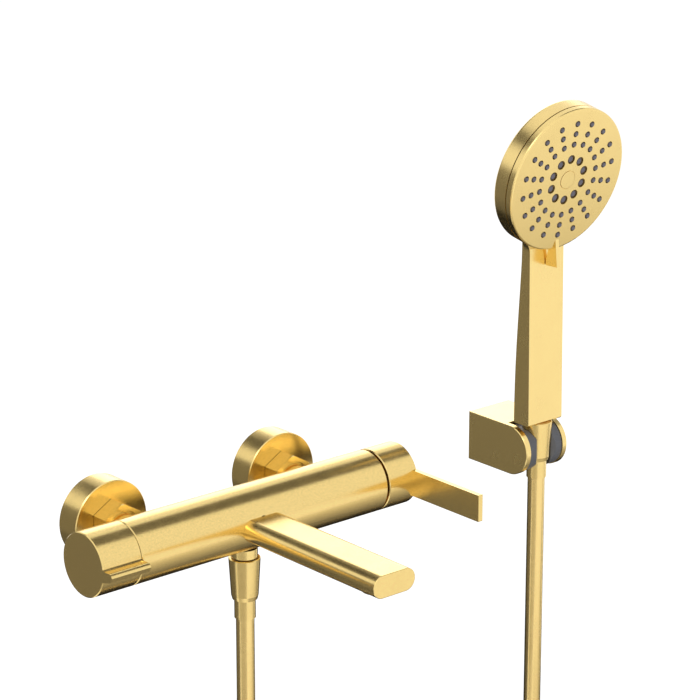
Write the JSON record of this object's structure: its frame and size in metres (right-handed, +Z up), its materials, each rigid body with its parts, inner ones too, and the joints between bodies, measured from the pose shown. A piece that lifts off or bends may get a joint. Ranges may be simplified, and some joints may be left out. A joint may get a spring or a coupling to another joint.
{
  "type": "wall-mounted bath shower mixer",
  "caption": "Wall-mounted bath mixer with a round body, flat spout, side lever and diverter knob, and a hand shower on a hose in a wall bracket.",
  "frame": {"origin": "on the finished wall, midway between the two inlets, at the height of their centres", "axes": "+X to the right along the wall, +Y into the wall, +Z up"},
  "size_m": [0.4873, 0.241, 0.8104],
  "materials": {
    "gold_brass": "brushed satin gold over brass",
    "gold_abs": "satin gold plated plastic",
    "hose_gold": "smooth satin gold hose",
    "ferrule_gold": "satin gold",
    "grey_plastic": "dark grey moulded plastic",
    "silicone": "soft grey silicone",
    "ceramic": null,
    "stainless": "plain stainless steel",
    "raw_brass": "machined brass"
  },
  "bodies": {
    "mixer": {"body_casting": "gold_brass", "spout": "gold_brass", "aerator_housing": "gold_brass", "aerator_insert": "grey_plastic", "wall_flange_left": "gold_brass", "wall_flange_right": "gold_brass", "union_nut_left": "gold_brass", "union_nut_right": "gold_brass", "wall_union_left": "raw_brass", "wall_union_right": "raw_brass", "union_gasket_left": "silicone", "union_gasket_right": "silicone", "inlet_check_valve_left": "grey_plastic", "inlet_check_valve_right": "grey_plastic", "diverter_housing": "grey_plastic", "diverter_disc_fixed": "ceramic", "diverter_nut": "raw_brass", "cartridge_housing": "grey_plastic", "cartridge_base": "grey_plastic", "ceramic_disc_fixed": "ceramic", "cartridge_nut": "raw_brass", "outlet_nipple": "raw_brass", "outlet_check_valve": "grey_plastic", "hose_nut_mixer": "gold_brass", "hose_washer_mixer": "silicone", "hose_ferrule_mixer": "ferrule_gold", "hose": "hose_gold", "hose_mid": "hose_gold", "bracket_body": "gold_brass", "bracket_wall_plate": "stainless", "bracket_grub_screw": "stainless", "holder_pins": "stainless"},
    "diverter": {"diverter_knob": "gold_brass", "diverter_spindle": "raw_brass", "diverter_disc_moving": "ceramic", "knob_grub_screw": "stainless"},
    "cartridge_core": {"cartridge_carrier": "grey_plastic", "ceramic_disc_moving": "ceramic", "stem_pin": "stainless"},
    "lever": {"lever_handle": "gold_brass", "lever_stem": "raw_brass", "lever_grub_screw": "stainless"},
    "holder": {"holder_insert": "grey_plastic"},
    "handset": {"handset_body": "gold_abs", "handset_connector": "raw_brass", "water_tube": "grey_plastic", "spray_core": "grey_plastic", "pivot_screw": "stainless", "hose_nut_handset": "gold_brass", "hose_washer_handset": "silicone", "hose_ferrule_handset": "ferrule_gold", "hose_top": "hose_gold"},
    "selector": {"face_plate": "gold_abs", "nozzle_mat": "silicone", "massage_nozzles": "silicone", "mat_plate": "grey_plastic", "centre_cap": "gold_abs"}
  },
  "joints": [
    {"name": "diverter_turn", "type": "hinge", "parent": "mixer", "child": "diverter", "pos_m": [-0.12, -0.07, 0], "axis": [-1, 0, 0], "range_deg": [0, 90]},
    {"name": "lever_turn", "type": "hinge", "parent": "mixer", "child": "cartridge_core", "pos_m": [0.1, -0.07, 0], "axis": [1, 0, 0], "range_deg": [-45, 45]},
    {"name": "lever_tilt", "type": "hinge", "parent": "cartridge_core", "child": "lever", "pos_m": [0.1, -0.07, 0], "axis": [0, 0, 1], "range_deg": [0, 12]},
    {"name": "holder_swivel", "type": "hinge", "parent": "mixer", "child": "holder", "pos_m": [0.296, -0.045, -0.0214], "axis": [1, 0, 0], "range_deg": [-8, 12], "deforming": ["hose_mid"]},
    {"name": "handset_lift", "type": "slide", "parent": "holder", "child": "handset", "axis": [0, 0, 1], "range_m": [0, 0.035], "deforming": ["hose_top"]},
    {"name": "selector_turn", "type": "hinge", "parent": "handset", "child": "selector", "pos_m": [0.296, -0.07696, 0.19127], "axis": [0, -0.9799, -0.1994], "range_deg": [-35, 35]}
  ]
}
